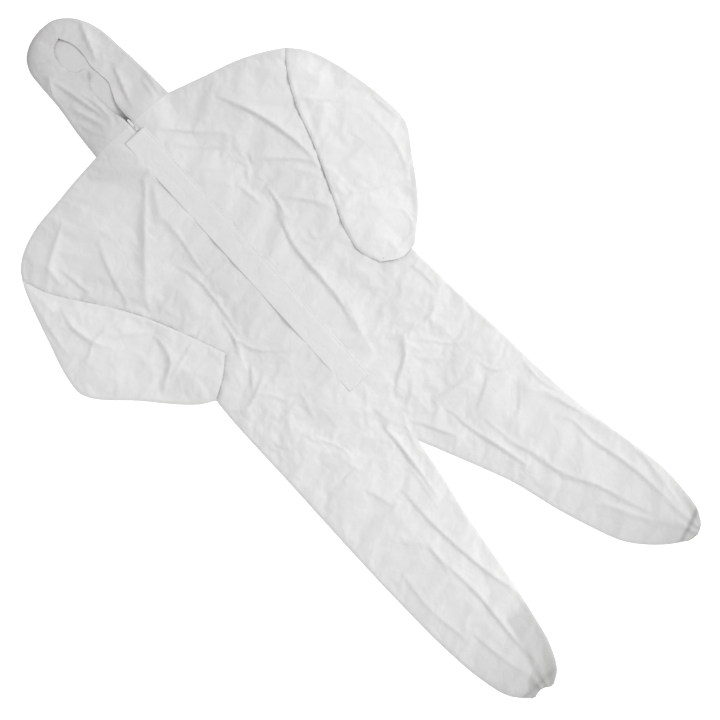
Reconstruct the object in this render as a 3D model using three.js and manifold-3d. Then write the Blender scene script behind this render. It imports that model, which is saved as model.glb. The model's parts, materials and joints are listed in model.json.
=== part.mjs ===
// Hooded disposable protective coverall, laid flat on its back with both sleeves folded down.
// Millimetres, +Z up. The origin is on the underside of the back panel, at the centre of the waist.
// +Y runs to the hood, and +X is the wearer's left. Each side is drawn for +X and mirrored for -X.
import * as THREE from 'three';
import { mergeVertices } from 'three/addons/utils/BufferGeometryUtils.js';
import Module from 'manifold-3d';

const wasm = await Module();
wasm.setup();

// ---- Fabric and clearances ----
const FABRIC = 2; // panel thickness, a stand-in for thin nonwoven
const GAP = 0.3; // clearance between neighbouring pieces
const BODY_DEPTH = 26; // front to back, through the laid torso, hood and legs
const SLEEVE_DEPTH = 20; // front to back, through the laid forearm
const SEAM_WIDTH = 3; // width of the folded fabric along each long edge
const SEAM_INSET = 2; // from a panel's edge to its seam
const SEAM_START = 12; // from a limb's joint to the start of its long seams

// ---- Torso ----
const BACK_LENGTH = 571; // waist to neck seam
const RISE = 420; // waist to the centre of the hips
const CHEST_HALF = 285;
const HIP_HALF = 292;
const NECK_HALF = 114;
const HORN_ANGLE = 25; // degrees above the hip centre where the side of the torso ends
const CROTCH_ANGLE = 167; // degrees around the hip where the torso ends in the crotch

// ---- Hood ----
const HOOD_LENGTH = 306; // neck seam to crown
const HOOD_HALF = 101;
const CROWN_OFFSET = -8; // the crown leans a little to the wearer's right
const FACE_LENGTH = 245;
const FACE_HALF = 38;
const FACE_BASE_HALF = 14; // half the face opening at the neck seam

// ---- Sleeves ----
const ELBOW_RADIUS = 108;
const ELBOW_RIM = 28; // width of the ring where the forearm rests on the upper arm
const FOREARM_LENGTH = 280;
const CUFF_HALF = 50;

// ---- Legs ----
const LEG_GAP = 3; // between the tops of the two legs
const LEG_LENGTH = 640;
const ANKLE_HALF = 34;

// ---- Elastics ----
const ELASTIC_WIDTH = 12;
const ELASTIC_THICKNESS = 1.6;
const FACE_ELASTIC_WIDTH = 7;
const WAIST_ELASTIC_LENGTH = 360;

// ---- Zip and storm flap ----
const ZIP_BOTTOM = -222;
const ZIP_TOP = BACK_LENGTH - 21;
const ZIP_SLOT_HALF = 9; // half the gap between the two front panels
const TAPE_WIDTH = 14;
const TAPE_THICKNESS = 1;
const COIL_GAP_HALF = 1.1; // half the gap between the two coils
const COIL_SIZE = 2.4;
const SLIDER_WIDTH = 9;
const SLIDER_LENGTH = 11;
const SLIDER_PLATE = 1.4;
const TAB_LENGTH = 30;
const TAB_WIDTH = 6;
const TAB_THICKNESS = 1.2;
const TAB_SLOT = 8;
const ARCH_WIDTH = 2; // the arch on the slider that the tab's slot goes round
const ARCH_SETBACK = 1.1;
const BRIDGE_THICKNESS = 1.2;
const FLAP_TOP = ZIP_TOP - 2;
const FLAP_BOTTOM = ZIP_BOTTOM - 13;
const FLAP_HINGE_X = 12;
const FLAP_WIDTH = 54;
const FLAP_THICKNESS = 1.4;
const FLAP_SEAM_WIDTH = 4;
const ADHESIVE_WIDTH = 12;
const ADHESIVE_EDGE = 3; // from the flap's edges to the adhesive
const ADHESIVE_THICKNESS = 0.6;
const LINER_THICKNESS = 0.4;

// The two sides differ only in how the arm and leg lie. Shoulder heights are below the neck
// seam, and widths are outside the chest. Splay and turn are in degrees from straight down.
const fromChest = ([out, down]) => [CHEST_HALF + out, BACK_LENGTH - down];
const SIDES = [
  {
    name: 'left', sign: 1, hipShift: 10, legSplay: 16, forearmTurn: 24.5,
    shoulderLine: [[4, 52]], shoulder: [112, 108], armpit: [0, 331],
    elbow: [86, 384], armOuter: [[148, 177], [180, 269]],
  },
  {
    name: 'right', sign: -1, hipShift: 3, legSplay: 2.8, forearmTurn: 35.5,
    shoulderLine: [[-41, 12], [51, 26]], shoulder: [110, 54], armpit: [0, 321],
    elbow: [120, 346], armOuter: [[163, 116], [205, 246]],
  },
].map((side) => ({
  ...side,
  shoulderLine: side.shoulderLine.map(fromChest),
  shoulder: fromChest(side.shoulder),
  armpit: fromChest(side.armpit),
  elbow: fromChest(side.elbow),
  armOuter: side.armOuter.map(fromChest),
  hip: [(HIP_HALF + LEG_GAP) / 2 + side.hipShift, -RISE],
}));

// Half-width of a laid leg or forearm against the distance down it.
const HIP_RADIUS = HIP_HALF / 2;
const ELBOW_PASSAGE = ELBOW_RADIUS - ELBOW_RIM; // radius open between upper arm and forearm
function taper(length, full, hem, shares) {
  return [...shares.map(([down, wide]) => [down * length, wide * full]), [length, hem]];
}
const LEG_PROFILE = taper(LEG_LENGTH, HIP_RADIUS, ANKLE_HALF,
  [[0, 1], [0.18, 0.94], [0.34, 0.87], [0.64, 0.74], [0.81, 0.62], [0.92, 0.45]]);
const FOREARM_PROFILE = taper(FOREARM_LENGTH, ELBOW_RADIUS, CUFF_HALF,
  [[0, 1], [0.22, 0.97], [0.54, 0.8], [0.86, 0.61]]);

// ---- Levels that follow from the sizes ----
const FRONT_BASE = BODY_DEPTH - FABRIC;
const SLEEVE_BASE = BODY_DEPTH + 2 * GAP;
const SLEEVE_TOP = SLEEVE_BASE + SLEEVE_DEPTH;
const TAPE_BASE = FRONT_BASE - GAP - TAPE_THICKNESS;
const COIL_BASE = TAPE_BASE + TAPE_THICKNESS;
const SLIDER_BASE = TAPE_BASE - GAP - SLIDER_PLATE;
const SLIDER_TOP = COIL_BASE + COIL_SIZE + GAP;
const BRIDGE_BASE = SLIDER_TOP + SLIDER_PLATE;
const BRIDGE_TOP = BRIDGE_BASE + TAB_THICKNESS + 2 * GAP + BRIDGE_THICKNESS;
const TAB_BASE = BRIDGE_BASE + GAP;
const FLAP_BASE = BRIDGE_TOP + 2 * GAP;
const SLIDER_Y = ZIP_TOP + SLIDER_LENGTH / 2;

// ---- Materials ----
function cloth(color, roughness) {
  return new THREE.MeshStandardMaterial({ color, roughness, metalness: 0 });
}
const fabric = () => cloth(0xe9e9e7, 0.78);
const hoodFabric = () => cloth(0xe3e0e0, 0.78);
const seamFabric = () => cloth(0xdededc, 0.82);
const elastic = () => cloth(0xd9d6cf, 0.85);
const zipTape = () => cloth(0xeeeeec, 0.8);
const zipPlastic = () => cloth(0xf0f0ee, 0.45);
const adhesive = () => cloth(0xd8d4c4, 0.35);
const liner = () => cloth(0xf4f2ea, 0.3);

// ---- Plan geometry ----
const at = (x, y) => new THREE.Vector2(x, y);
const curve = (pairs, steps) => new THREE.SplineCurve(pairs.map(([x, y]) => at(x, y))).getPoints(steps);
const rad = THREE.MathUtils.degToRad;

function arc([cx, cy], radius, fromDegrees, toDegrees, steps) {
  const points = [];
  for (let i = 0; i <= steps; i++) {
    const angle = rad(fromDegrees + ((toDegrees - fromDegrees) * i) / steps);
    points.push(at(cx + radius * Math.cos(angle), cy + radius * Math.sin(angle)));
  }
  return points;
}

// Moves a line sideways: a positive distance is to the right of its direction of travel.
function shifted(points, distance, closed = false) {
  const last = points.length - 1;
  const normalOf = (a, b) => at(b.y - a.y, a.x - b.x).normalize();
  return points.map((point, i) => {
    const before = closed ? points[(i + last) % (last + 1)] : points[Math.max(i - 1, 0)];
    const after = closed ? points[(i + 1) % (last + 1)] : points[Math.min(i + 1, last)];
    const first = before === point ? normalOf(point, after) : normalOf(before, point);
    const second = after === point ? first : normalOf(point, after);
    const sum = first.clone().add(second);
    const stretch = distance / Math.max(0.3, 1 + first.dot(second));
    return point.clone().addScaledVector(sum, stretch);
  });
}

// A panel's outline pulled in by half the gap, so that neighbours that share an edge stay clear.
function inset(points, distance = GAP / 2) {
  const loop = points.filter((p, i) => p.distanceTo(points[(i + 1) % points.length]) > 0.01);
  const inward = THREE.ShapeUtils.isClockWise(loop) ? distance : -distance;
  return shifted(loop, inward, true);
}

// The band between two lines that run beside one edge.
function band(line, near, far) {
  return [...shifted(line, near), ...shifted(line, far).reverse()];
}

function rectangle(x0, x1, y0, y1) {
  return [at(x0, y0), at(x1, y0), at(x1, y1), at(x0, y1)];
}

// ---- Building ----
const suit = new THREE.Group();

function addMesh(name, geometry, material) {
  const mesh = new THREE.Mesh(geometry, material);
  mesh.name = name;
  suit.add(mesh);
  return mesh;
}

// A flat piece: an outline in plan, from one height to another, mirrored for the wearer's right.
function plate(name, outline, base, top, material, sign = 1) {
  const shape = new THREE.Shape(outline.map((p) => at(sign * p.x, p.y)));
  const geometry = new THREE.ExtrudeGeometry(shape, { depth: top - base, bevelEnabled: false });
  const mesh = addMesh(name, geometry, material);
  mesh.position.z = base;
  return mesh;
}

// A flattened ring of elastic around the end of a limb, closed round the limb's own direction.
function elasticRing(name, centre, direction, half, base, top, sign) {
  const radius = (top - base) / 2;
  const slot = (r, h) => [
    ...arc([h - radius, 0], r, -90, 90, 6), ...arc([radius - h, 0], r, 90, 270, 6),
  ];
  const shape = new THREE.Shape(slot(radius, half));
  shape.holes.push(new THREE.Path(slot(radius - ELASTIC_THICKNESS, half).reverse()));
  const geometry = new THREE.ExtrudeGeometry(shape, { depth: ELASTIC_WIDTH, bevelEnabled: false });
  geometry.translate(0, 0, -ELASTIC_WIDTH);
  const along = new THREE.Vector3(sign * direction.x, direction.y, 0);
  const upward = new THREE.Vector3(0, 0, 1);
  const across = new THREE.Vector3().crossVectors(upward, along);
  geometry.applyMatrix4(new THREE.Matrix4().makeBasis(across, upward, along));
  const mesh = addMesh(name, geometry, elastic());
  mesh.position.set(sign * centre.x, centre.y, (base + top) / 2);
  return mesh;
}

// ---- Limbs: a round top on a pivot, and two edges that taper to a hem ----
function limb(pivot, splay, profile, length) {
  const along = at(Math.sin(rad(splay)), -Math.cos(rad(splay)));
  const outward = at(Math.cos(rad(splay)), Math.sin(rad(splay)));
  const point = (u, v) => at(...pivot).addScaledVector(along, u).addScaledVector(outward, v);
  const edge = (side) => curve(profile.map(([u, w]) => point(u, side * w).toArray()), 32);
  const radius = profile[0][1];
  const distanceDown = (p) => p.clone().sub(at(...pivot)).dot(along);
  const hemStart = length - ELASTIC_WIDTH - 2 * SEAM_INSET;
  return {
    along, point, radius,
    outer: edge(1),
    inner: edge(-1),
    seamed: (line) => line.filter((p) => distanceDown(p) > SEAM_START && distanceDown(p) < hemStart),
    top: (r, steps = 20) => arc(pivot, r, splay, splay + 180, steps),
    bottom: (r, steps = 14) => arc(pivot, r, splay, splay - 180, steps),
  };
}

function legPieces(side) {
  const { name, sign } = side;
  const leg = limb(side.hip, side.legSplay, LEG_PROFILE, LEG_LENGTH);
  const outline = inset([...leg.outer, ...[...leg.inner].reverse(), ...leg.top(leg.radius).reverse()]);
  plate(`${name}_leg_back`, outline, 0, FABRIC, fabric(), sign);
  plate(`${name}_leg_front`, outline, FRONT_BASE, BODY_DEPTH, fabric(), sign);
  const seamOut = band(leg.seamed(leg.outer), SEAM_INSET, SEAM_INSET + SEAM_WIDTH);
  const seamIn = band(leg.seamed(leg.inner), -SEAM_INSET, -SEAM_INSET - SEAM_WIDTH);
  plate(`${name}_leg_outseam`, seamOut, FABRIC, FRONT_BASE, seamFabric(), sign);
  plate(`${name}_leg_inseam`, seamIn, FABRIC, FRONT_BASE, seamFabric(), sign);
  const hem = leg.point(LEG_LENGTH - SEAM_INSET / 2, 0);
  const half = ANKLE_HALF - SEAM_INSET;
  elasticRing(`${name}_ankle_elastic`, hem, leg.along, half, FABRIC + GAP, FRONT_BASE - GAP, sign);
}

function upperArmPieces(side) {
  const { name, sign, shoulder, armpit, elbow } = side;
  const rim = [elbow[0] + ELBOW_RADIUS, elbow[1]];
  const outer = curve([shoulder, ...side.armOuter, rim], 14);
  const sideLimit = (CHEST_HALF + GAP - elbow[0]) / ELBOW_RADIUS;
  const innerAngle = -THREE.MathUtils.radToDeg(Math.acos(Math.max(-1, sideLimit)));
  const cap = arc(elbow, ELBOW_RADIUS, 0, innerAngle, 16);
  const armpitCorner = at(armpit[0] + GAP, armpit[1]);
  plate(`${name}_sleeve_back`, inset([...outer, ...cap, armpitCorner]), 0, FABRIC, fabric(), sign);
  const mouth = arc(elbow, ELBOW_PASSAGE, 0, 180, 14);
  const innerRim = at(Math.max(elbow[0] - ELBOW_RADIUS, CHEST_HALF + GAP), elbow[1]);
  const open = sideLimit < -1 || elbow[0] - ELBOW_PASSAGE > CHEST_HALF + 3 * SEAM_INSET;
  const front = open ? [...outer, ...mouth, innerRim, armpitCorner] : [...outer, ...mouth, armpitCorner];
  plate(`${name}_sleeve_front`, inset(front), FRONT_BASE, BODY_DEPTH, fabric(), sign);
  const edge = [...outer, ...cap.slice(1), at(...armpit)];
  const split = outer.length + 8;
  const near = SEAM_INSET;
  const far = SEAM_INSET + SEAM_WIDTH;
  plate(`${name}_sleeve_outer_seam`, band(edge.slice(1, split), near, far), FABRIC, FRONT_BASE,
    seamFabric(), sign);
  plate(`${name}_sleeve_under_seam`, band(edge.slice(split, -1), near, far), FABRIC, FRONT_BASE,
    seamFabric(), sign);
}

function forearmPieces(side) {
  const { name, sign } = side;
  const arm = limb(side.elbow, -side.forearmTurn, FOREARM_PROFILE, FOREARM_LENGTH);
  const outline = [...arm.outer, ...[...arm.inner].reverse(), ...arm.top(arm.radius).reverse()];
  plate(`${name}_forearm_front`, inset(outline), SLEEVE_TOP - FABRIC, SLEEVE_TOP, fabric(), sign);
  const wallFar = SEAM_INSET + SEAM_WIDTH;
  const backOuter = shifted(arm.outer, wallFar + GAP);
  const backInner = shifted(arm.inner, -wallFar - GAP).reverse();
  const back = [...backOuter, ...backInner, ...arm.bottom(ELBOW_PASSAGE).reverse()];
  plate(`${name}_forearm_back`, back, SLEEVE_BASE, SLEEVE_BASE + FABRIC, fabric(), sign);
  const crown = arm.top(arm.radius);
  const middle = Math.floor(crown.length / 2);
  const outerEdge = [...crown.slice(0, middle).reverse(), ...arm.seamed(arm.outer)];
  const innerEdge = [...crown.slice(middle + 1), ...arm.seamed(arm.inner)];
  plate(`${name}_forearm_outer_seam`, band(outerEdge, SEAM_INSET, wallFar), SLEEVE_BASE,
    SLEEVE_TOP - FABRIC, seamFabric(), sign);
  plate(`${name}_forearm_inner_seam`, band(innerEdge, -SEAM_INSET, -wallFar), SLEEVE_BASE,
    SLEEVE_TOP - FABRIC, seamFabric(), sign);
  const cuff = arm.point(FOREARM_LENGTH - SEAM_INSET / 2, 0);
  elasticRing(`${name}_cuff_elastic`, cuff, arm.along, CUFF_HALF - SEAM_INSET,
    SLEEVE_BASE + FABRIC + GAP, SLEEVE_TOP - FABRIC - GAP, sign);
}

// ---- Torso ----
const hipRim = (side, degrees) => arc(side.hip, HIP_RADIUS, degrees, degrees, 1)[0];
const hipArc = (side) => arc(side.hip, HIP_RADIUS, HORN_ANGLE, CROTCH_ANGLE, 22);

// From the neck along the shoulder to the armpit, and down the side to the hip.
function torsoEdge(side) {
  const neck = [NECK_HALF, BACK_LENGTH];
  const horn = hipRim(side, HORN_ANGLE);
  return {
    shoulder: curve([neck, ...side.shoulderLine, side.shoulder], 8),
    flank: [at(...side.armpit), at(CHEST_HALF, 0), at(HIP_HALF + side.hipShift, horn.y)],
  };
}

function frontPieces(side) {
  const { name, sign } = side;
  const edge = torsoEdge(side);
  const crotch = hipRim(side, CROTCH_ANGLE);
  const outline = [
    at(ZIP_SLOT_HALF, BACK_LENGTH), ...edge.shoulder, ...edge.flank, ...hipArc(side),
    at(0, crotch.y), at(0, ZIP_BOTTOM), at(ZIP_SLOT_HALF, ZIP_BOTTOM),
  ];
  plate(`${name}_front_panel`, inset(outline), FRONT_BASE, BODY_DEPTH, fabric(), sign);
  const near = SEAM_INSET;
  const far = SEAM_INSET + SEAM_WIDTH;
  plate(`${name}_shoulder_seam`, band(edge.shoulder, near, far), FABRIC, FRONT_BASE, seamFabric(), sign);
  const flank = [edge.flank[0].clone().setY(side.armpit[1] - 2 * far), ...edge.flank.slice(1)];
  plate(`${name}_side_seam`, band(flank, near, far), FABRIC, FRONT_BASE, seamFabric(), sign);
}

function backPanel() {
  const halves = SIDES.map((side) => {
    const edge = torsoEdge(side);
    const half = [...edge.shoulder, ...edge.flank, ...hipArc(side)];
    return half.map((p) => at(side.sign * p.x, p.y));
  });
  const outline = inset([...halves[0], ...halves[1].reverse()]);
  plate('torso_back_panel', outline, 0, FABRIC, fabric());
  const half = WAIST_ELASTIC_LENGTH / 2;
  const strip = rectangle(-half, half, -ELASTIC_WIDTH / 2, ELASTIC_WIDTH / 2);
  plate('waist_elastic', strip, FABRIC, FABRIC + ELASTIC_THICKNESS, elastic());
}

// ---- Hood ----
function hoodPieces() {
  const neckLine = BACK_LENGTH + GAP;
  const crown = [CROWN_OFFSET, BACK_LENGTH + HOOD_LENGTH];
  const faceTop = [CROWN_OFFSET, BACK_LENGTH + FACE_LENGTH];
  const cheek = BACK_LENGTH + 0.35 * HOOD_LENGTH;
  const temple = BACK_LENGTH + 0.72 * HOOD_LENGTH;
  const brow = BACK_LENGTH + 0.93 * HOOD_LENGTH;
  const sideEdge = (sign) => curve([
    [sign * NECK_HALF, neckLine], [sign * (HOOD_HALF + 5), cheek],
    [sign * HOOD_HALF + 0.4 * CROWN_OFFSET, temple],
    [sign * 0.58 * HOOD_HALF + CROWN_OFFSET, brow], crown,
  ], 20);
  const faceEdge = (sign) => curve([
    [sign * FACE_BASE_HALF, neckLine],
    [sign * FACE_HALF + CROWN_OFFSET / 2, BACK_LENGTH + 0.46 * FACE_LENGTH],
    [sign * 0.62 * FACE_HALF + CROWN_OFFSET, BACK_LENGTH + 0.84 * FACE_LENGTH], faceTop,
  ], 14);
  const outline = inset([...sideEdge(1), ...sideEdge(-1).reverse()]);
  plate('hood_back_panel', outline, 0, FABRIC, hoodFabric());
  for (const { name, sign } of SIDES) {
    const front = [...sideEdge(sign), ...faceEdge(sign).reverse()];
    plate(`${name}_hood_panel`, inset(front), FRONT_BASE, BODY_DEPTH, hoodFabric());
    const seamLine = sideEdge(sign).slice(1, -1);
    const seam = band(seamLine, -sign * SEAM_INSET, -sign * (SEAM_INSET + SEAM_WIDTH));
    plate(`${name}_hood_seam`, seam, FABRIC, FRONT_BASE, seamFabric());
  }
  const rim = [...faceEdge(-1), ...faceEdge(1).reverse().slice(1)];
  const horseshoe = band(rim, -SEAM_INSET, -SEAM_INSET - FACE_ELASTIC_WIDTH);
  const elasticTop = FRONT_BASE - GAP;
  plate('face_elastic', horseshoe, elasticTop - ELASTIC_THICKNESS, elasticTop, elastic());
}

// ---- Zip: two tapes, two coils, stops, slider and pull tab ----
function zipPieces() {
  for (const { name, sign } of SIDES) {
    const inner = COIL_GAP_HALF;
    const tape = rectangle(inner + 0.5 * COIL_SIZE, inner + 0.5 * COIL_SIZE + TAPE_WIDTH,
      ZIP_BOTTOM + 2, BACK_LENGTH - 1);
    plate(`${name}_zip_tape`, tape, TAPE_BASE, COIL_BASE, zipTape(), sign);
    const coil = rectangle(inner, inner + COIL_SIZE, ZIP_BOTTOM + 10, ZIP_TOP + SLIDER_LENGTH);
    plate(`${name}_zip_coil`, coil, COIL_BASE, COIL_BASE + COIL_SIZE, zipPlastic(), sign);
    const stopY = ZIP_TOP + SLIDER_LENGTH + GAP;
    const stop = rectangle(inner, inner + 1.3 * COIL_SIZE, stopY, stopY + 4);
    plate(`${name}_zip_top_stop`, stop, COIL_BASE, COIL_BASE + COIL_SIZE, zipPlastic(), sign);
  }
  const stopHalf = COIL_GAP_HALF + COIL_SIZE;
  const bottomStop = rectangle(-stopHalf, stopHalf, ZIP_BOTTOM + 4, ZIP_BOTTOM + 10 - GAP);
  plate('zip_bottom_stop', bottomStop, COIL_BASE, COIL_BASE + COIL_SIZE, zipPlastic());
}

// Boxes joined into one solid, each given by its lowest and highest corner.
function joinedBoxes(boxes) {
  const solids = boxes.map(([low, high]) => {
    const size = high.map((value, i) => value - low[i]);
    const box = new THREE.BoxGeometry(...size);
    box.translate(...low.map((value, i) => value + size[i] / 2));
    box.deleteAttribute('normal');
    box.deleteAttribute('uv');
    const merged = mergeVertices(box);
    return new wasm.Manifold(new wasm.Mesh({
      numProp: 3,
      vertProperties: merged.attributes.position.array,
      triVerts: new Uint32Array(merged.index.array),
    }));
  });
  const mesh = solids.reduce((whole, solid) => whole.add(solid)).getMesh();
  const geometry = new THREE.BufferGeometry();
  geometry.setAttribute('position', new THREE.BufferAttribute(mesh.vertProperties, 3));
  geometry.setIndex(new THREE.BufferAttribute(mesh.triVerts, 1));
  return geometry;
}

// Two plates joined by a thin post between the coils, with an arch on top that traps the tab.
function slider() {
  const wide = SLIDER_WIDTH / 2;
  const long = SLIDER_LENGTH / 2;
  const post = COIL_GAP_HALF - GAP;
  const arch = ARCH_WIDTH / 2;
  const reach = long - ARCH_SETBACK;
  const geometry = joinedBoxes([
    [[-wide, -long, SLIDER_BASE], [wide, long, SLIDER_BASE + SLIDER_PLATE]],
    [[-wide, -long, SLIDER_TOP], [wide, long, BRIDGE_BASE]],
    [[-post, -long / 2, SLIDER_BASE], [post, long / 2, BRIDGE_BASE]],
    [[-arch, -reach, SLIDER_TOP], [arch, -reach + BRIDGE_THICKNESS, BRIDGE_TOP]],
    [[-arch, reach - BRIDGE_THICKNESS, SLIDER_TOP], [arch, reach, BRIDGE_TOP]],
    [[-arch, -reach, BRIDGE_TOP - BRIDGE_THICKNESS], [arch, reach, BRIDGE_TOP]],
  ]);
  addMesh('zip_slider', geometry, zipPlastic()).position.y = SLIDER_Y;
}

// A flat tab with a slot: its end bar passes under the arch, and it lies towards the hood.
function pullTab() {
  const half = TAB_WIDTH / 2;
  const bar = TAB_THICKNESS / 2;
  const slotHalf = ARCH_WIDTH / 2 + GAP;
  const outline = [
    at(-half, -bar), at(half, -bar), at(half, TAB_LENGTH - half),
    ...arc([0, TAB_LENGTH - half], half, 0, 180, 8).slice(1, -1), at(-half, TAB_LENGTH - half),
  ];
  const shape = new THREE.Shape(outline);
  shape.holes.push(new THREE.Path(rectangle(-slotHalf, slotHalf, bar, bar + TAB_SLOT)));
  const geometry = new THREE.ExtrudeGeometry(shape, { depth: TAB_THICKNESS, bevelEnabled: false });
  addMesh('zip_pull_tab', geometry, zipPlastic()).position.set(0, SLIDER_Y, TAB_BASE);
}

// ---- Storm flap: stitched down along one edge, stuck down along the other ----
function flapPieces() {
  const free = FLAP_HINGE_X - FLAP_WIDTH;
  const flap = rectangle(free, FLAP_HINGE_X, FLAP_BOTTOM, FLAP_TOP);
  plate('storm_flap', flap, FLAP_BASE, FLAP_BASE + FLAP_THICKNESS, fabric());
  const seam = rectangle(FLAP_HINGE_X - FLAP_SEAM_WIDTH, FLAP_HINGE_X, FLAP_BOTTOM, FLAP_TOP);
  plate('storm_flap_seam', seam, BODY_DEPTH, FLAP_BASE - GAP, seamFabric());
  const edge = free + ADHESIVE_EDGE;
  const strip = rectangle(edge, edge + ADHESIVE_WIDTH, FLAP_BOTTOM + ADHESIVE_EDGE,
    FLAP_TOP - ADHESIVE_EDGE);
  const linerTop = FLAP_BASE - ADHESIVE_THICKNESS;
  plate('flap_adhesive_strip', strip, linerTop, FLAP_BASE, adhesive());
  plate('flap_release_liner', strip, linerTop - LINER_THICKNESS, linerTop, liner());
}

// ---- Assembly ----
backPanel();
hoodPieces();
zipPieces();
slider();
pullTab();
flapPieces();
for (const side of SIDES) {
  frontPieces(side);
  upperArmPieces(side);
  forearmPieces(side);
  legPieces(side);
}

export default suit;
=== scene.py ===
"""A hooded disposable protective coverall of thin nonwoven fabric, laid flat on its back.

Plan positions are millimetres in the suit's own frame: the origin is at the waist, +Y runs to
the hood and +X is the wearer's left. Each fabric panel is cut as a flat sheet and raised into the
shape it lies in, where its edges meet those of its neighbours. A cloth simulation then crumples
the panels that face up. The points of the outlines and folds were read off the photo and turned
into these millimetres.
"""
import json
import math

import bpy
import numpy as np
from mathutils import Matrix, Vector, noise
from mathutils.geometry import delaunay_2d_cdt


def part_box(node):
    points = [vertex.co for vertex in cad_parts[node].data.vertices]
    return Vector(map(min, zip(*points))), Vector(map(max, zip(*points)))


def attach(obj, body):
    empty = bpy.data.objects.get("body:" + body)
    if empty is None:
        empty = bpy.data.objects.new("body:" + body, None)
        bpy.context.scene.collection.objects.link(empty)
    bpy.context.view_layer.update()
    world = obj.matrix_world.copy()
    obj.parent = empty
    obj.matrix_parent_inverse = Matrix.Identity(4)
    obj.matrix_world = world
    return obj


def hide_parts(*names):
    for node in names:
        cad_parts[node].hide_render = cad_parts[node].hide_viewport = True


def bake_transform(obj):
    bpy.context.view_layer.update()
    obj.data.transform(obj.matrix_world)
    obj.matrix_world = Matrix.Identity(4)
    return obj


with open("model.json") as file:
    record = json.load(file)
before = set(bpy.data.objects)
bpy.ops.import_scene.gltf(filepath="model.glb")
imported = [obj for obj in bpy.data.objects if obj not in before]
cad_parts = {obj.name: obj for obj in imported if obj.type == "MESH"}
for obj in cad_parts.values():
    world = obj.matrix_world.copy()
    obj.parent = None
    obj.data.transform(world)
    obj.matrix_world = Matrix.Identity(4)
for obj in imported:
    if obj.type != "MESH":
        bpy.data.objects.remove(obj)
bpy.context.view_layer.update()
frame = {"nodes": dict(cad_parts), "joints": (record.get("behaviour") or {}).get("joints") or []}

MM = 0.001
SCENE = bpy.context.scene

# ---- Sizes, in millimetres ----
MESH_STEP = 5.0  # between vertices of a fabric panel
BACK_STEP = 12.0  # inside a panel that faces the floor
EDGE_HEIGHT = 4.0  # where a front and a back panel meet
EDGE_ROLL = 3.0  # radius of the rolled fabric along a sewn edge
BODY_RISE = 16.0  # from the rolled edge to the top of the laid body
BODY_REACH = 85.0  # how far in from the edge the body keeps rising
SLEEVE_EDGE = 1.6  # the same sizes for a sleeve, which lies flatter
SLEEVE_ROLL = 2.4
SLEEVE_RISE = 15.0
SLEEVE_REACH = 85.0
SLEEVE_CLEARANCE = 0.4  # between the body and the sleeve that lies on it
SLEEVE_DROP = 48.0  # how far outside the body the sleeve comes down to the floor
FLOOR_GAP = 0.5
HEM_CASING = 19.0  # from an ankle hem to the gathers of its elastic
BODY_SHADE = 0.07  # the even darkening a piece starts from, where 1 is its material's full dark tone
SLEEVE_SHADE = {"left": 0.0, "right": 0.16}
SEAM_INSET = 3.4  # from a sewn edge to the overlocked seam inside it
SEAM_THICK = 1.1
NECK_HALF = 114  # from the middle to the end of the neck seam
CROTCH_Y = -430
CROWN = (-12, 883)  # top of the hood, where its two side lines meet
FACE_TOP = (8, 838)  # top of the face opening
HEM_CLOSING = 0.55  # the share of its rise above the edges that a leg loses at its hem
HEM_REACH = 40.0  # how far up the leg that closing is felt
PLEAT_HEIGHT = 2.0
PLEAT_PITCH = 21.0
PLEAT_REACH = 85.0  # how far up the leg the pleats run
CASING_GROOVE = 3.5  # depth and half width of the groove that the ankle elastic pulls in
CUFF_CLOSING = 0.7  # the same share for a sleeve at its cuff
CUFF_REACH = 35.0
HOOD_RAISE = 13.8  # how far the hood's back comes up inside the face opening
ELASTIC_HALF = 4.0  # half width of an ankle or cuff elastic
STITCH_LENGTH = 3.2
STITCH_GAP = 1.4
STITCH_RADIUS = 0.32
FLAP_SEWN_X = 18.5  # the storm flap's fixed edge, past its hinge
FLAP_FOLD = 2.0  # how far in from the free edge the flap's fold is rounded
COIL_PITCH = 2.6

# ---- Places that come from the frame, in millimetres ----
def corners(node):
    low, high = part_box(node)
    return np.array(low) / MM, np.array(high) / MM


def joint_at(name):
    joint = next(j for j in frame["joints"] if j["name"] == name)
    return np.array(joint["pos_m"][:2]) / MM


NECK_Y = corners("left_hood_panel")[0][1]
FLAP_LOW, FLAP_HIGH = corners("storm_flap")
SLOT_HALF = corners("left_front_panel")[0][0]
ZIP_BOTTOM = corners("left_zip_tape")[0][1]
FRONT_LEVEL = corners("left_front_panel")[1][2]


# ---- Lines and plan geometry ----
def spline(points, step=MESH_STEP):
    """A smooth line through the points, with a vertex about every step."""
    p = np.array(points, float)
    gaps = np.linalg.norm(np.diff(p, axis=0), axis=1)
    slopes = np.diff(p, axis=0) / gaps[:, None]
    tangents = np.vstack([slopes[:1], (slopes[1:] + slopes[:-1]) / 2, slopes[-1:]])
    dense = []
    for i, gap in enumerate(gaps):
        t = np.linspace(0, 1, 24, endpoint=False)[:, None]
        dense.append(
            (1 + 2 * t) * (1 - t) ** 2 * p[i] + t * (1 - t) ** 2 * gap * tangents[i]
            + t * t * (3 - 2 * t) * p[i + 1] + t * t * (t - 1) * gap * tangents[i + 1]
        )
    dense = np.vstack(dense + [p[-1:]])
    along = np.concatenate([[0], np.cumsum(np.linalg.norm(np.diff(dense, axis=0), axis=1))])
    stops = np.linspace(0, along[-1], max(2, round(along[-1] / step) + 1))
    return np.column_stack([np.interp(stops, along, dense[:, k]) for k in range(p.shape[1])])


def mirrored(points, sign):
    return [(sign * x, y) for x, y in points]


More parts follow.
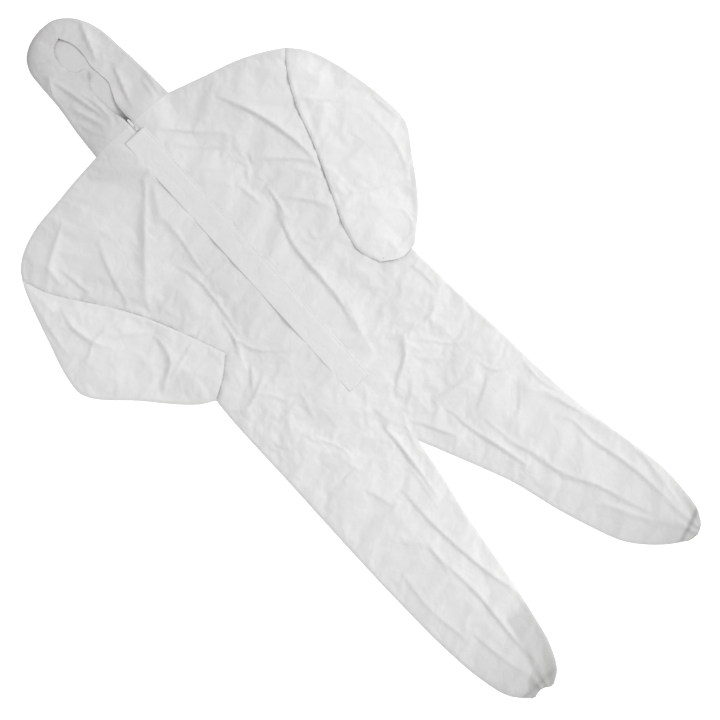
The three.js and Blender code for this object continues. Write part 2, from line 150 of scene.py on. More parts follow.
def nearest(plan, line):
    """For each plan point: distance to the line, which side it is on (+1 is left) and how far along."""
    start, step = line[:-1], np.diff(line, axis=0)
    squared = (step ** 2).sum(1)
    best = [np.empty(len(plan)) for _ in range(3)]
    for k in range(0, len(plan), 3000):
        offset = plan[k:k + 3000, None, :] - start[None]
        t = np.clip((offset * step).sum(2) / squared, 0, 1)
        gap = offset - t[..., None] * step
        pick = (gap ** 2).sum(2).argmin(1)
        rows = np.arange(len(pick))
        chosen, direction = gap[rows, pick], step[pick]
        turn = direction[:, 0] * chosen[:, 1] - direction[:, 1] * chosen[:, 0]
        best[0][k:k + 3000] = np.linalg.norm(chosen, axis=1)
        best[1][k:k + 3000] = np.where(turn >= 0, 1, -1)
        best[2][k:k + 3000] = (pick + t[rows, pick]) / len(step)
    return best


def inside(plan, loop):
    """Which plan points lie within the closed loop."""
    result = np.zeros(len(plan), bool)
    for (x0, y0), (x1, y1) in zip(loop, np.roll(loop, -1, axis=0)):
        if y0 != y1:
            crosses = (y0 > plan[:, 1]) != (y1 > plan[:, 1])
            result ^= crosses & (plan[:, 0] < x0 + (x1 - x0) * (plan[:, 1] - y0) / (y1 - y0))
    return result


def outward(plan, loop):
    """Distance to the closed loop: positive outside it, negative inside."""
    distance = nearest(plan, np.vstack([loop, loop[:1]]))[0]
    return np.where(inside(plan, loop), -distance, distance)


def smoothstep(low, high, value):
    t = np.clip((value - low) / (high - low), 0, 1)
    return t * t * (3 - 2 * t)


def cut(*runs, step=MESH_STEP):
    """A flat panel within these smooth runs of edge, which follow each other round it."""
    loop = np.vstack([spline(run)[:-1] for run in runs])
    low, high = loop.min(0), loop.max(0)
    rows = np.arange(low[1], high[1], step * 0.87)
    columns = np.arange(low[0], high[0], step)
    grid = np.array([(x + step / 2 * (i % 2), y) for i, y in enumerate(rows) for x in columns])
    grid = grid[outward(grid, loop) < -0.5 * step]
    rim = [(i, (i + 1) % len(loop)) for i in range(len(loop))]
    points = [Vector(p) for p in np.vstack([loop, grid])]
    made = delaunay_2d_cdt(points, rim, [], 1, 0.001)
    return np.array([tuple(v) for v in made[0]]), [tuple(f) for f in made[2]], loop


# ---- Outlines: x is outward from the middle, for either side ----
SIDES = {
    "left": {
        "sign": 1,
        "shoulder": [(NECK_HALF, NECK_Y), (200, 545), (289, 518), (350, 489), (388, 466)],
        "armhole": [(388, 466), (350, 378), (312, 285), (288, 200), (285, 100)],
        "flank": [(285, 100), (285, 0), (293, -92), (303, -242), (317, -381), (323, -479), (339, -623),
                  (368, -768), (383, -855), (384, -930), (378, -985), (364, -1014)],
        "hem": [(364, -1014), (336, -1029), (304, -1024)],
        "inseam": [(304, -1024), (272, -1004), (233, -970), (197, -926), (162, -848), (132, -764),
                   (99, -652), (67, -576), (25, -484), (0, CROTCH_Y)],
        "sleeve_outer": [(388, 466), (423, 424), (457, 334), (482, 190), (480, 145), (446, 89), (371, -18),
                         (304, -80)],
        "cuff": [(304, -80), (262, -84), (215, -58)],
        "sleeve_inner": [(215, -58), (196, -8), (205, 55), (235, 130), (268, 210), (290, 268), (315, 345),
                         (348, 412), (388, 466)],
    },
    "right": {
        "sign": -1,
        "shoulder": [(NECK_HALF, NECK_Y), (180, 566), (244, 557), (336, 543), (395, 519), (423, 496),
                     (438, 474)],
        "armhole": [(438, 474), (402, 372), (330, 262), (292, 190), (285, 100)],
        "flank": [(285, 100), (285, 0), (291, -60), (292, -300), (292, -545), (290, -665), (282, -841),
                  (268, -945), (246, -1015), (208, -1058)],
        "hem": [(208, -1058), (178, -1052), (150, -1066)],
        "inseam": [(150, -1066), (122, -1047), (92, -988), (75, -912), (61, -834), (33, -632), (14, -526),
                   (0, CROTCH_Y)],
        "sleeve_outer": [(438, 474), (452, 442), (489, 324), (514, 228), (514, 182), (423, 80), (324, -21),
                         (290, -40)],
        "cuff": [(290, -40), (238, -8), (198, 28)],
        "sleeve_inner": [(198, 28), (226, 96), (252, 155), (282, 217), (325, 288), (376, 358), (412, 412),
                         (438, 474)],
    },
}
# The hood and its face opening aren't mirrored: x is to the wearer's left.
HOOD_RIGHT = [(-NECK_HALF, NECK_Y), (-110, 640), (-101, 720), (-99, 788), (-95, 826), (-78, 856),
              (-45, 876), CROWN]
HOOD_LEFT = [CROWN, (24, 880), (59, 857), (81, 827), (94, 790), (102, 728), (110, 640),
             (NECK_HALF, NECK_Y)]
FACE_LEFT = [(SLOT_HALF, NECK_Y), (4.4, NECK_Y + 7), (3.8, 600), (6, 632), (17, 660), (26, 682),
             (24, 706), (21, 738), (26, 770), (23, 806), FACE_TOP]
FACE_RIGHT = [FACE_TOP, (-16, 828), (-29, 802), (-26, 768), (-14, 748), (5, 741), (7, 727), (-13, 706),
              (-18, 690), (-17, 655), (-13, 620), (-7, 595), (-4.4, NECK_Y + 7), (-SLOT_HALF, NECK_Y)]

# Folds of the front, as (height, width, points of the line where it falls steeply).
FOLDS = [
    # chest and belly
    (9, 22, [(183, 486), (220, 405), (246, 310), (253, 248), (247, 200)]),
    (3, 9, [(155, 342), (145, 312)]),
    (3, 9, [(125, 318), (108, 283)]),
    (4, 12, [(82, 305), (90, 258), (92, 222)]),
    (4, 9, [(135, 258), (127, 208), (118, 160)]),
    (11, 36, [(112, 205), (82, 125), (76, 60), (75, 0), (70, -60), (55, -125), (28, -215)]),
    (4, 12, [(92, -60), (70, -130), (48, -215)]),
    (7, 34, [(-45, 495), (-90, 445), (-128, 402), (-185, 340), (-245, 272), (-275, 222)]),
    (9, 34, [(-50, 460), (-100, 380), (-106, 305), (-115, 245), (-120, 195)]),
    (4, 18, [(-245, 430), (-270, 370), (-286, 315), (-295, 268)]),
    (4, 14, [(-145, 248), (-135, 185), (-140, 110), (-150, 35)]),
    (2.5, 8, [(-210, 272), (-160, 258)]),
    (3, 16, [(30, 525), (85, 465), (150, 400)]),
    (2.5, 12, [(25, 485), (70, 430), (130, 375)]),
    (3, 14, [(5, 435), (45, 380), (95, 335)]),
    (2.5, 10, [(20, 380), (70, 310)]),
    (4, 13, [(155, 315), (215, 262), (265, 205)]),
    (3, 10, [(200, 250), (245, 180)]),
    (3.5, 11, [(140, 212), (180, 165), (215, 110)]),
    (3.5, 11, [(140, 118), (135, 85), (190, 55)]),
    (6, 22, [(-275, 520), (-315, 497), (-365, 468), (-405, 430)]),
    (4, 12, [(-375, 468), (-382, 408)]),
    (3, 9, [(-355, 435), (-345, 352)]),
    # hips
    (7, 28, [(135, -212), (98, -256), (52, -282), (22, -310)]),
    (3, 9, [(120, -208), (160, -220), (200, -228), (252, -212)]),
    (2.5, 6, [(130, -222), (175, -275), (225, -330), (290, -360)]),
    (2, 6, [(130, -290), (165, -325)]),
    (5, 22, [(85, -372), (125, -382), (170, -388), (215, -398)]),
    (3.5, 6, [(225, -372), (235, -420), (260, -442), (292, -450)]),
    (2, 5, [(270, -405), (296, -383)]),
    (2, 5, [(270, -482), (215, -538)]),
    (3, 9, [(225, -420), (185, -445), (152, -462)]),
    (3, 8, [(258, -100), (267, -150), (265, -200)]),
    (3, 7, [(290, -180), (298, -245), (298, -305)]),
    (4, 10, [(-155, 92), (-165, 35), (-192, -22)]),
    (2.5, 7, [(-212, -8), (-226, -58)]),
    (3, 8, [(-172, -28), (-216, -84)]),
    (3, 8, [(-160, -62), (-195, -82), (-268, -108)]),
    (3, 8, [(-290, -72), (-255, -105), (-205, -102), (-172, -142)]),
    (4, 12, [(-165, 42), (-140, -20), (-72, -82)]),
    (3, 8, [(-130, -152), (-140, -190), (-150, -232)]),
    (2.5, 7, [(-120, -188), (-98, -248)]),
    (3.5, 12, [(-48, -338), (-90, -322), (-132, -300)]),
    (3, 9, [(-190, -255), (-155, -305), (-145, -352)]),
    (2.5, 9, [(-200, -302), (-148, -332)]),
    (2.5, 7, [(-285, -330), (-220, -346)]),
    # left leg
    (4, 11, [(12, -378), (45, -435), (78, -500)]),
    (4, 10, [(95, -412), (110, -505), (130, -572), (147, -650)]),
    (2.5, 7, [(145, -485), (160, -580), (185, -650), (190, -702)]),
    (2.5, 8, [(10, -358), (-10, -402), (-20, -458)]),
    (4, 8, [(303, -450), (304, -515), (322, -572)]),
    (6, 22, [(255, -505), (290, -552), (320, -640), (348, -712), (358, -805), (352, -885), (345, -980)]),
    (6, 18, [(270, -600), (293, -640), (297, -700), (316, -780), (328, -865), (334, -1000)]),
    (4, 12, [(115, -520), (130, -585), (146, -648)]),
    (6, 18, [(145, -560), (170, -630), (192, -710), (232, -785), (265, -875), (312, -995)]),
    (6, 18, [(172, -812), (205, -825), (252, -902), (284, -950), (320, -1008)]),
    # right leg
    (4, 10, [(-45, -348), (-45, -415), (-56, -488)]),
    (3, 10, [(-175, -425), (-150, -502)]),
    (5, 10, [(-40, -345), (-45, -440), (-62, -565)]),
    (7, 20, [(-112, -485), (-114, -575), (-105, -690), (-92, -775), (-74, -865), (-95, -985)]),
    (3, 9, [(-145, -592), (-162, -718)]),
    (6, 18, [(-162, -590), (-152, -700), (-146, -800), (-152, -900), (-152, -1020)]),
    (2.5, 8, [(-60, -455), (-65, -510), (-76, -578)]),
    (5, 20, [(-245, -630), (-252, -745), (-238, -850)]),
    (5, 16, [(-215, -840), (-205, -925), (-182, -1020)]),
    # hood
    (9, 14, [(70, 845), (48, 785), (34, 738)]),
    (9, 12, [(-72, 792), (-86, 772), (-108, 728)]),
    (7, 11, [(-77, 785), (-62, 722), (-42, 635), (-34, 600)]),
    (6, 9, [(-46, 712), (-34, 660), (-30, 600)]),
    (5, 8, [(-75, 826), (-52, 812), (-20, 800)]),
    (5, 8, [(-90, 800), (-62, 778), (-32, 772)]),
    (7, 12, [(-88, 700), (-66, 640), (-44, 584)]),
    (5, 9, [(-98, 660), (-84, 620), (-66, 586)]),
    (5, 8, [(104, 660), (99, 620), (92, 584)]),
    (5, 8, [(84, 640), (82, 610), (76, 582)]),
    (7, 13, [(60, 715), (34, 640), (18, 585)]),
    (7, 8, [(12, 744), (3, 724), (-20, 696)]),
]
SLEEVE_FOLDS = [
    (3, 12, [(325, 355), (388, 297), (430, 295)]),
    (4, 12, [(262, 102), (330, 70), (395, 36)]),
    (3, 14, [(425, 212), (425, 142), (400, 52)]),
    (3, 9, [(290, 22), (330, 0), (322, -48), (275, -62)]),
    (4, 10, [(458, 248), (470, 158)]),
    (6, 16, [(-420, 365), (-428, 305), (-412, 245), (-390, 205)]),
    (4, 10, [(-380, 236), (-330, 202), (-290, 172)]),
    (5, 13, [(-300, 175), (-300, 130), (-312, 100), (-350, 78), (-375, 58)]),
    (3, 6, [(-240, 100), (-290, 85), (-350, 64)]),
    (5, 13, [(-455, 430), (-470, 350), (-480, 270)]),
    (3, 9, [(-330, 250), (-400, 260), (-460, 230)]),
]
LIGHT_FROM = np.array([0.87, -0.38])  # a fold falls steeply on the side away from it
FOLD_SCALE = 0.95


def fold_height(plan, folds):
    """The height that the folds add: each rises gently on one side and falls steeply on the other."""
    total = np.zeros(len(plan))
    for height, width, points in folds:
        line = spline(points, 9)
        if (line[-1] - line[0]) @ (-LIGHT_FROM[1], LIGHT_FROM[0]) > 0:
            line = line[::-1]
        reach = 3 * width
        near = ((plan > line.min(0) - reach) & (plan < line.max(0) + reach)).all(1)
        if not near.any():
            continue
        distance, side, share = nearest(plan[near], line)
        across = distance * side - 0.35 * width
        spread = np.where(across > 0, width, 0.34 * width)
        crest = np.sqrt((across / spread) ** 2 + 0.004) - 0.063
        total[near] += FOLD_SCALE * height * np.exp(-1.6 * crest) * np.sin(np.pi * share) ** 0.6
    return total


def wrinkles(plan, size, seed):
    """Sharp random creases about size apart, from -1 to 1."""
    result = np.empty(len(plan))
    for i, (x, y) in enumerate(plan):
        at = Vector((x / size, y / size, seed))
        result[i] = abs(noise.noise(at)) - abs(noise.noise(at * 1.3 + Vector((7, 3, 1))))
    return 2 * result


def rolled(distance, roll):
    inward = np.clip(1 - distance / roll, 0, 1)
    return roll * np.sqrt(1 - inward ** 2)


def body_base(distance):
    return EDGE_HEIGHT + rolled(distance, EDGE_ROLL) + BODY_RISE * (1 - np.exp(-distance / BODY_REACH))


def zip_ridge(plan):
    """How far each point is on the ridge beside the zip that the flap lies on, from 0 to 1."""
    x = plan[:, 0]
    along = smoothstep(FLAP_LOW[1] - 90, FLAP_LOW[1] + 2, plan[:, 1])
    along *= smoothstep(NECK_Y + 70, NECK_Y + 10, plan[:, 1])
    return along * np.where(x > 0, smoothstep(120, 20, x), smoothstep(165, 42, -x))


def under_flap(plan):
    """How far each point is under the storm flap, from 0 to 1."""
    x, y = plan[:, 0], plan[:, 1]
    along = smoothstep(FLAP_LOW[1] - 18, FLAP_LOW[1], y) * smoothstep(NECK_Y + 30, NECK_Y, y)
    return along * smoothstep(34, 18, x) * smoothstep(60, 42, -x)


def front_height(plan, edge_distance, sleeves=()):
    z = body_base(edge_distance)
    cover = np.ones(len(plan))
    for loop in sleeves:
        cover *= smoothstep(-12, 14, outward(plan, loop))
    soft = 1 - np.exp(-edge_distance / 10)
    relief = fold_height(plan, FOLDS)
    hips = np.exp(-((plan[:, 1] + 230) / 210) ** 2)
    relief += wrinkles(plan, 90, 1.7) * (1.1 + 0.9 * hips)
    small = wrinkles(plan, 34, 4.1) * (0.25 + 0.45 * hips)
    small += wrinkles(plan, 17, 9.3) * (0.15 + 0.5 * hips)
    relief += small
    ridge = zip_ridge(plan)
    z += relief * soft * cover * (1 - 0.35 * ridge) * (1 - under_flap(plan))
    z -= 1.5 * (1 - cover)
    beside = smoothstep(SLOT_HALF, SLOT_HALF + 10, np.abs(plan[:, 0]))
    below = smoothstep(ZIP_BOTTOM + 4, ZIP_BOTTOM - 10, plan[:, 1])
    level = FRONT_LEVEL - 0.7 + 4.8 * np.maximum(beside, below)
    z = z * (1 - ridge) + level * ridge
    return z


def back_height(plan, edge_distance):
    under = EDGE_HEIGHT - rolled(edge_distance, EDGE_HEIGHT - FLOOR_GAP)
    return under + (1 - np.exp(-edge_distance / 20)) * np.abs(wrinkles(plan, 45, 2.2)) * 0.8


# ---- Objects ----
def add_object(name, vertices, faces, material):
    mesh = bpy.data.meshes.new(name)
    mesh.from_pydata((np.asarray(vertices) * MM).tolist(), [], faces)
    mesh.shade_smooth()
    obj = bpy.data.objects.new(name, mesh)
    SCENE.collection.objects.link(obj)
    mesh.materials.append(material)
    return obj


# ---- Materials ----
def new_material(name, roughness):
    material = bpy.data.materials.new(name)
    material.use_nodes = True
    nodes, links = material.node_tree.nodes, material.node_tree.links
    shader = nodes["Principled BSDF"]
    shader.inputs["Roughness"].default_value = roughness
    return material, nodes, links, shader


def object_position(nodes):
    return nodes.new("ShaderNodeTexCoord").outputs["Object"]


def noise_texture(nodes, links, where, scale, detail):
    texture = nodes.new("ShaderNodeTexNoise")
    texture.inputs["Scale"].default_value = scale
    texture.inputs["Detail"].default_value = detail
    links.new(where, texture.inputs["Vector"])
    return texture


def two_tones(nodes, links, source, colour, share):
    """The colour, darkened to that share of itself where the source is 0."""
    ramp = nodes.new("ShaderNodeValToRGB")
    ramp.color_ramp.elements[0].color = (*[c * share for c in colour], 1)
    ramp.color_ramp.elements[1].color = (*colour, 1)
    links.new(source, ramp.inputs["Fac"])
    return ramp


def add_bump(nodes, links, source, strength, distance):
    bump = nodes.new("ShaderNodeBump")
    bump.inputs["Strength"].default_value = strength
    bump.inputs["Distance"].default_value = distance
    links.new(source, bump.inputs["Height"])
    return bump


def fabric_material(name, light, dark):
    """Spunbond nonwoven: a grid of tiny bonded points, cloudy fibres and fine creases."""
    material, nodes, links, shader = new_material(name, 0.62)
    shader.inputs["Specular IOR Level"].default_value = 0.25
    shader.inputs["Sheen Weight"].default_value = 0.12
    shader.inputs["Sheen Roughness"].default_value = 0.6
    where = object_position(nodes)
    cloud = noise_texture(nodes, links, where, 26, 6)
    cloud.inputs["Roughness"].default_value = 0.62
    # The colour is darkened towards the dark tone by a per-vertex amount: partly layered fabric, partly
    # painted shade at edges, gathers and slopes.
    painted_shade_and_layers = nodes.new("ShaderNodeAttribute")
    painted_shade_and_layers.attribute_name = "doubling_and_painted_shade"
    ramp = two_tones(nodes, links, cloud.outputs["Fac"], light, 0.955)
    ramp.color_ramp.elements[0].position = 0.3
    ramp.color_ramp.elements[1].position = 0.72
    mix = nodes.new("ShaderNodeMix")
    mix.data_type = "RGBA"
    mix.inputs["B"].default_value = (*dark, 1)
    links.new(painted_shade_and_layers.outputs["Fac"], mix.inputs["Factor"])
    links.new(ramp.outputs["Color"], mix.inputs["A"])
    links.new(mix.outputs["Result"], shader.inputs["Base Color"])
    bonds = nodes.new("ShaderNodeTexVoronoi")
    bonds.inputs["Scale"].default_value = 620
    bonds.inputs["Randomness"].default_value = 0.35
    links.new(where, bonds.inputs["Vector"])
    fibres = noise_texture(nodes, links, where, 95, 8)
    fibres.inputs["Distortion"].default_value = 0.8
    bent = noise_texture(nodes, links, where, 8, 4)
    pushed = nodes.new("ShaderNodeVectorMath")
    pushed.operation = "MULTIPLY_ADD"
    pushed.inputs[1].default_value = (0.22, 0.22, 0.22)
    links.new(bent.outputs["Color"], pushed.inputs[0])
    links.new(where, pushed.inputs[2])
    creases = nodes.new("ShaderNodeTexVoronoi")
    creases.feature = "DISTANCE_TO_EDGE"
    creases.inputs["Scale"].default_value = 13
    links.new(pushed.outputs["Vector"], creases.inputs["Vector"])
    sharp = nodes.new("ShaderNodeMapRange")
    sharp.inputs["From Max"].default_value = 0.11
    links.new(creases.outputs["Distance"], sharp.inputs["Value"])
    last = None
    for source, strength, distance in (
        (sharp.outputs["Result"], 0.3, 0.0012),
        (fibres.outputs["Fac"], 0.35, 0.0015),
        (bonds.outputs["Distance"], 0.15, 0.0004),
    ):
        bump = add_bump(nodes, links, source, strength, distance)
        if last:
            links.new(last, bump.inputs["Normal"])
        last = bump.outputs["Normal"]
    links.new(last, shader.inputs["Normal"])
    return material


FABRIC = fabric_material("nonwoven", (0.93, 0.93, 0.925), (0.50, 0.50, 0.495))
HOOD = fabric_material("nonwoven_hood", (0.72, 0.71, 0.715), (0.40, 0.39, 0.395))


def mark_doubling_and_painted_shade(obj, amounts):
    """How far each vertex is darkened, from 0 to 1: partly for fabric lying double or gathered, partly as
    painted shade.
    """
    attribute = obj.data.attributes.new("doubling_and_painted_shade", "FLOAT", "POINT")
    attribute.data.foreach_set("value", np.clip(amounts, 0, 1).astype(np.float32))


# ---- The body and legs ----
sleeve_loops = []
for side in SIDES.values():
    runs = [mirrored(side[k], side["sign"]) for k in ("sleeve_outer", "cuff", "sleeve_inner")]
    sleeve_loops.append(np.vstack([spline(run)[:-1] for run in runs]))

HEMS = {}
for name, side in SIDES.items():
    sign = side["sign"]
    hem = np.array(mirrored(side["hem"], sign), float)
    knee = np.array((sign * 250 if name == "left" else sign * 185, -800.0))
    HEMS[name] = (hem.mean(0), knee - hem.mean(0))


def hem_pleats(plan, name):
    """The pleats that fan out from an ankle hem, and how far up the leg each point is."""
    middle, along = HEMS[name]
    direction = along / np.linalg.norm(along)
    offset = plan - middle
    up = offset @ direction
    across = offset @ np.array([-direction[1], direction[0]])
    fan = across / (1 + np.clip(up, 0, None) / 55)
    wave = np.sin(2 * np.pi * fan / PLEAT_PITCH + 1 + 1.5 * np.sin(fan / 9 + 1))
    return wave * np.exp(-np.clip(up, 0, None) / PLEAT_REACH), up


def body_front_height(plan, distance, up, pleats):
    """The front, which closes towards the ankle hem and is grooved where the elastic gathers it."""
    z = front_height(plan, distance, sleeve_loops)
    z -= HEM_CLOSING * (z - EDGE_HEIGHT - EDGE_ROLL) * np.exp(-np.abs(up) / HEM_REACH)
    z += pleats * PLEAT_HEIGHT * (1 - np.exp(-distance / 6))
    groove = CASING_GROOVE * np.exp(-((up - HEM_CASING) / CASING_GROOVE) ** 2)
    return z - groove * (1 - np.exp(-distance / 6))


def body_shade(name, plan, distance, inseam_distance, up):
    """Darker at the sewn edges and in the gathered hem, partly as fabric lying double and partly as painted
    shade, and over the chest and in the right ankle's tuck.
    """
    # Painted shade along the rolled sewn edges, where the seam also lays the fabric double; darker towards
    # the chest and neck.
    edge_shade = 0.1 * np.exp(-distance / 7) + BODY_SHADE + 0.2 * smoothstep(-350, 280, plan[:, 1])
    edge_shade += 0.1 * smoothstep(430, 560, plan[:, 1])
    up = np.clip(up, 0, None)
    # The gathered hem is darker, partly as gathered fabric and partly as painted shade in its folds, with a
    # painted dark line in the elastic's groove.
    gathered_shade = 0.62 * np.exp(-up / 130) + 0.5 * np.exp(-((up - HEM_CASING) / 5) ** 2)
    if name == "right":
        gathered_shade += 0.3 * (smoothstep(64, 56, inseam_distance) * smoothstep(190, 165, up))
    return edge_shade + gathered_shade


def body_panels(name, side):
    sign = side["sign"]
    sewn = [spline(mirrored(side["shoulder"], sign)), spline(mirrored(side["armhole"], sign)),
            spline(mirrored(side["flank"], sign))]
    outer = np.vstack([line[:-1] for line in sewn[:-1]] + [sewn[-1]])
    inner = spline(mirrored(side["inseam"], sign))
    runs = [mirrored(side[k], sign) for k in ("shoulder", "armhole", "flank", "hem", "inseam")]
    slot = sign * SLOT_HALF
    front_middle = [[(0, CROTCH_Y), (0, ZIP_BOTTOM)], [(0, ZIP_BOTTOM), (slot, ZIP_BOTTOM)],
                    [(slot, ZIP_BOTTOM), (slot, NECK_Y)], [(slot, NECK_Y), (sign * NECK_HALF, NECK_Y)]]
    back_middle = [[(0, CROTCH_Y), (0, NECK_Y)], [(0, NECK_Y), (sign * NECK_HALF, NECK_Y)]]
    made = []
    for part, middle, step in (("front", front_middle, MESH_STEP), ("back", back_middle, BACK_STEP)):
        plan, faces, loop = cut(*runs, *middle, step=step)
        inseam_distance = nearest(plan, inner)[0]
        distance = np.minimum(nearest(plan, outer)[0], inseam_distance)
        pleats, up = hem_pleats(plan, name)
        if part == "front":
            z = body_front_height(plan, distance, up, pleats)
        else:
            z = back_height(plan, distance) + np.abs(pleats) * 1.2 * (1 - np.exp(-distance / 6))
            faces = [f[::-1] for f in faces]
        obj = add_object(f"{name}_{part}", np.column_stack([plan, z]), faces, FABRIC)
        mark_doubling_and_painted_shade(obj, body_shade(name, plan, distance, inseam_distance, up))
        made.append((obj, loop))
    return made


panels = {}
for name, side in SIDES.items():
    panels[name] = body_panels(name, side)
    (front, front_loop), (back, back_loop) = panels[name]
    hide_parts(f"{name}_front_panel", f"{name}_leg_front")
    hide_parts("torso_back_panel", f"{name}_leg_back")


# ---- Sleeves ----
def sleeve_lie(plan, side):
    """How high a sleeve lies: on the body where it crosses it, and down on the floor outside it."""
    body_edge = [spline(mirrored(side[k], side["sign"])) for k in ("shoulder", "armhole", "flank")]
    body_loop = np.vstack([line[:-1] for line in body_edge] + [[(0, CROTCH_Y), (0, NECK_Y)]])
    beyond = outward(plan, body_loop)
    drop = np.exp(-(np.clip(beyond, 0, None) / SLEEVE_DROP) ** 2)
    on_body = EDGE_HEIGHT + EDGE_ROLL + BODY_RISE * (1 - np.exp(np.clip(beyond, None, 0) / BODY_REACH))
    shoulder_tip = mirrored(side["armhole"], side["sign"])[0]
    on_body -= (EDGE_ROLL + SLEEVE_CLEARANCE) * np.exp(-((plan - shoulder_tip) ** 2).sum(1) / 30 ** 2)
    return np.maximum((on_body + SLEEVE_CLEARANCE) * drop, FLOOR_GAP)


def sleeve_panels(name, side):
    sign = side["sign"]
    runs = [mirrored(side[k], sign) for k in ("sleeve_outer", "cuff", "sleeve_inner")]
    outer, inner = spline(runs[0]), spline(runs[2])
    made = []
    for part, step in (("front", MESH_STEP), ("back", BACK_STEP)):
        plan, faces, loop = cut(*runs, step=step)
        distance = np.minimum(nearest(plan, outer)[0], nearest(plan, inner)[0])
        lie = sleeve_lie(plan, side)
        if part == "front":
            closing = 1 - CUFF_CLOSING * np.exp(-nearest(plan, spline(runs[1]))[0] / CUFF_REACH)
            z = lie + SLEEVE_EDGE + rolled(distance, SLEEVE_ROLL)
            z += SLEEVE_RISE * (1 - np.exp(-distance / SLEEVE_REACH)) * closing
            relief = fold_height(plan, SLEEVE_FOLDS) + wrinkles(plan, 75, 5.5) * 1.3
            relief += wrinkles(plan, 28, 6.1) * 0.5
            z += relief * (1 - np.exp(-distance / 10)) * closing
        else:
            z = lie + SLEEVE_EDGE - rolled(distance, SLEEVE_EDGE - FLOOR_GAP)
            faces = [f[::-1] for f in faces]
        obj = add_object(f"{name}_sleeve_{part}_sheet", np.column_stack([plan, z]), faces, FABRIC)
        # The right sleeve is darker all over. Painted shade along the rolled edges, which the seams also
        # lay double; on the left sleeve a wider painted shade darkens the outer edge, which faces the
        # light.
        shade = SLEEVE_SHADE[name] + 0.15 * np.exp(-distance / 6)
        if name == "left":
            shade = shade + 0.3 * np.exp(-nearest(plan, outer)[0] / 18)
        mark_doubling_and_painted_shade(obj, shade)
        made.append((obj, loop))
    return made


for name, side in SIDES.items():
    (front, front_loop), (back, back_loop) = sleeve_panels(name, side)
    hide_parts(f"{name}_sleeve_front", f"{name}_forearm_front")
    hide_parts(f"{name}_sleeve_back", f"{name}_forearm_back")
    panels[name] += [(front, front_loop), (back, back_loop)]


# ---- Hood ----
def hood_panels():
    side_lines = [spline(HOOD_RIGHT), spline(HOOD_LEFT)]
    rim = np.vstack([side_lines[0][:-1], side_lines[1]])
    made = []
    seam = [CROWN, FACE_TOP]
    left_neck, right_neck = (NECK_HALF, NECK_Y), (-NECK_HALF, NECK_Y)
    parts = {
        "left_hood_front": ([HOOD_LEFT, [left_neck, (SLOT_HALF, NECK_Y)], FACE_LEFT, seam[::-1]], True),
        "right_hood_front": ([HOOD_RIGHT, seam, FACE_RIGHT, [(-SLOT_HALF, NECK_Y), right_neck]], True),
        "hood_back": ([HOOD_RIGHT, HOOD_LEFT, [left_neck, right_neck]], False),
    }
    for name, (runs, is_front) in parts.items():
        plan, faces, loop = cut(*runs, step=MESH_STEP if is_front else BACK_STEP)
        distance = nearest(plan, rim)[0]
        if is_front:
            z = front_height(plan, distance)
        else:
            z = back_height(plan, distance)
            raised = np.exp(-(((plan - (0, 690)) / (60, 160)) ** 6).sum(1))
            raised *= smoothstep(NECK_Y - 2, NECK_Y + 10, plan[:, 1])
            z += HOOD_RAISE * raised + np.abs(wrinkles(plan, 40, 3.3))
            faces = [f[::-1] for f in faces]
        obj = add_object(name, np.column_stack([plan, z]), faces, HOOD)
        # Darker along the rim and, wider, along the crown's edge: partly gathered fabric lying double,
        # partly painted shade where it curves away from the light.
        crown = smoothstep(760, 880, plan[:, 1]) * smoothstep(60, -90, plan[:, 0])
        mark_doubling_and_painted_shade(obj, 0.35 * np.exp(-distance / 9) + 0.7 * crown * np.exp(-distance / 28))
        made.append((obj, loop))
    return made


hood = hood_panels()
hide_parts("left_hood_panel")
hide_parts("right_hood_panel")
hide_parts("hood_back_panel")


# ---- Cloth simulation ----
SIM_FRAMES = 16
SIM_CAP = 7.0  # the most that the simulation may move a point
FULLNESS = 0.022  # how much larger wholly loose fabric would be than the space it lies in
SLEEVE_LOOSENESS = 0.4  # the share of that fullness that a sleeve has


